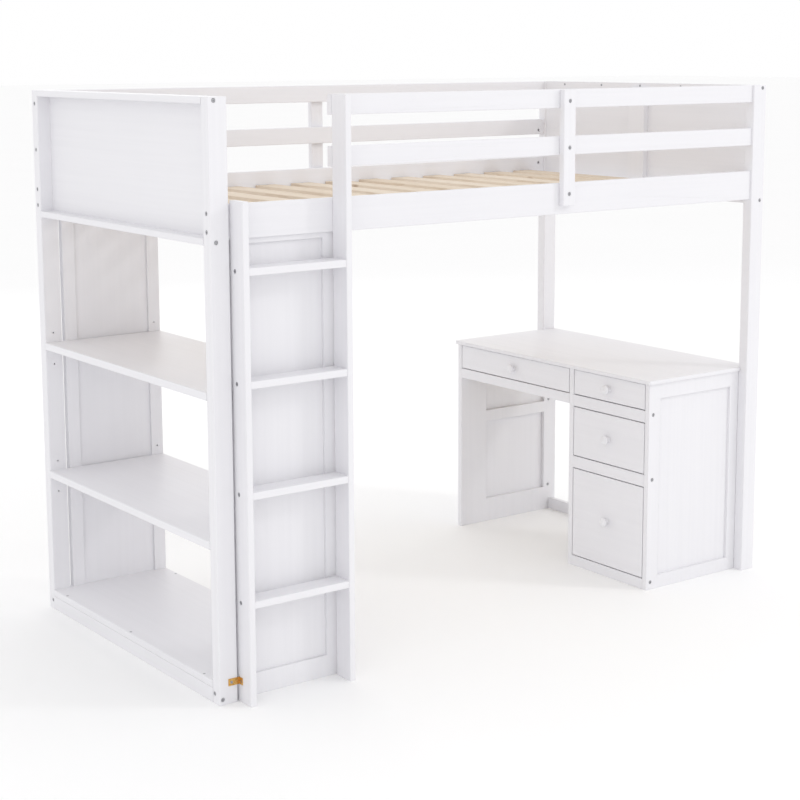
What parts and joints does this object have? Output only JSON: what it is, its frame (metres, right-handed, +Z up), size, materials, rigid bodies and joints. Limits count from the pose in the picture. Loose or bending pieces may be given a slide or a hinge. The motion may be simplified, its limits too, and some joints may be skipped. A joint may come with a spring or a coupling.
{
  "type": "loft bed with desk",
  "caption": "Raised single bed on rectangular posts with guard rails and slats, a ladder and open shelf unit at one end, and a drawer desk at the other.",
  "frame": {"origin": "on the floor, under the middle of the object's box", "axes": "+X along the bed from the shelf end to the desk end, +Y from the ladder side to the back, +Z up"},
  "size_m": [2.03, 1.1, 1.58],
  "materials": {
    "white_paint": "satin white paint on wood",
    "bare_pine": "bare planed pine",
    "drawer_ply": "bare plywood",
    "zinc_steel": "zinc-plated steel",
    "yellow_zinc": "yellow zinc plate"
  },
  "bodies": {
    "root": {"post_front_left": "white_paint", "post_rear_left": "white_paint", "post_front_right": "white_paint", "post_rear_right": "white_paint", "headboard_top_rail": "white_paint", "headboard_bottom_rail": "white_paint", "headboard_panel": "white_paint", "footboard_top_rail": "white_paint", "footboard_bottom_rail": "white_paint", "footboard_panel": "white_paint", "footboard_batten": "white_paint", "side_rail_front": "white_paint", "side_rail_rear": "white_paint", "guard_top_rail_front": "white_paint", "guard_mid_rail_front": "white_paint", "guard_top_rail_rear": "white_paint", "guard_mid_rail_rear": "white_paint", "guard_baluster_front": "white_paint", "guard_baluster_rear": "white_paint", "ladder_stile_left": "white_paint", "ladder_stile_right": "white_paint", "ladder_steps": "white_paint", "shelf_front_frame": "white_paint", "shelf_front_infill": "white_paint", "shelf_rear_frame": "white_paint", "shelf_rear_infill": "white_paint", "shelf_upper": "white_paint", "shelf_lower": "white_paint", "shelf_bottom_board": "white_paint", "shelf_end_rails": "white_paint", "desk_top": "white_paint", "desk_rear_side_frame": "white_paint", "desk_rear_side_infill": "white_paint", "pedestal_outer_frame": "white_paint", "pedestal_outer_infill": "white_paint", "pedestal_inner_side": "white_paint", "pedestal_front_rails": "white_paint", "desk_apron_rail": "white_paint", "desk_rear_stretcher": "white_paint", "pedestal_back": "white_paint", "slats": "bare_pine", "slat_cleats": "bare_pine", "drawer_runners": "bare_pine", "ladder_bracket": "yellow_zinc", "frame_bolts": "zinc_steel", "barrel_nuts": "zinc_steel", "wood_screws": "zinc_steel", "shelf_pins": "zinc_steel"},
    "drawer_wide": {"drawer_wide_front": "white_paint", "drawer_wide_box": "drawer_ply", "drawer_wide_knob": "white_paint"},
    "drawer_top": {"drawer_top_front": "white_paint", "drawer_top_box": "drawer_ply", "drawer_top_knob": "white_paint"},
    "drawer_middle": {"drawer_middle_front": "white_paint", "drawer_middle_box": "drawer_ply", "drawer_middle_knob": "white_paint"},
    "drawer_bottom": {"drawer_bottom_front": "white_paint", "drawer_bottom_box": "drawer_ply", "drawer_bottom_knob": "white_paint"}
  },
  "joints": [
    {"name": "drawer_wide_slide", "type": "slide", "parent": "root", "child": "drawer_wide", "axis": [-1, 0, 0], "range_m": [0, 0.28]},
    {"name": "drawer_top_slide", "type": "slide", "parent": "root", "child": "drawer_top", "axis": [-1, 0, 0], "range_m": [0, 0.28]},
    {"name": "drawer_middle_slide", "type": "slide", "parent": "root", "child": "drawer_middle", "axis": [-1, 0, 0], "range_m": [0, 0.28]},
    {"name": "drawer_bottom_slide", "type": "slide", "parent": "root", "child": "drawer_bottom", "axis": [-1, 0, 0], "range_m": [0, 0.28]}
  ]
}
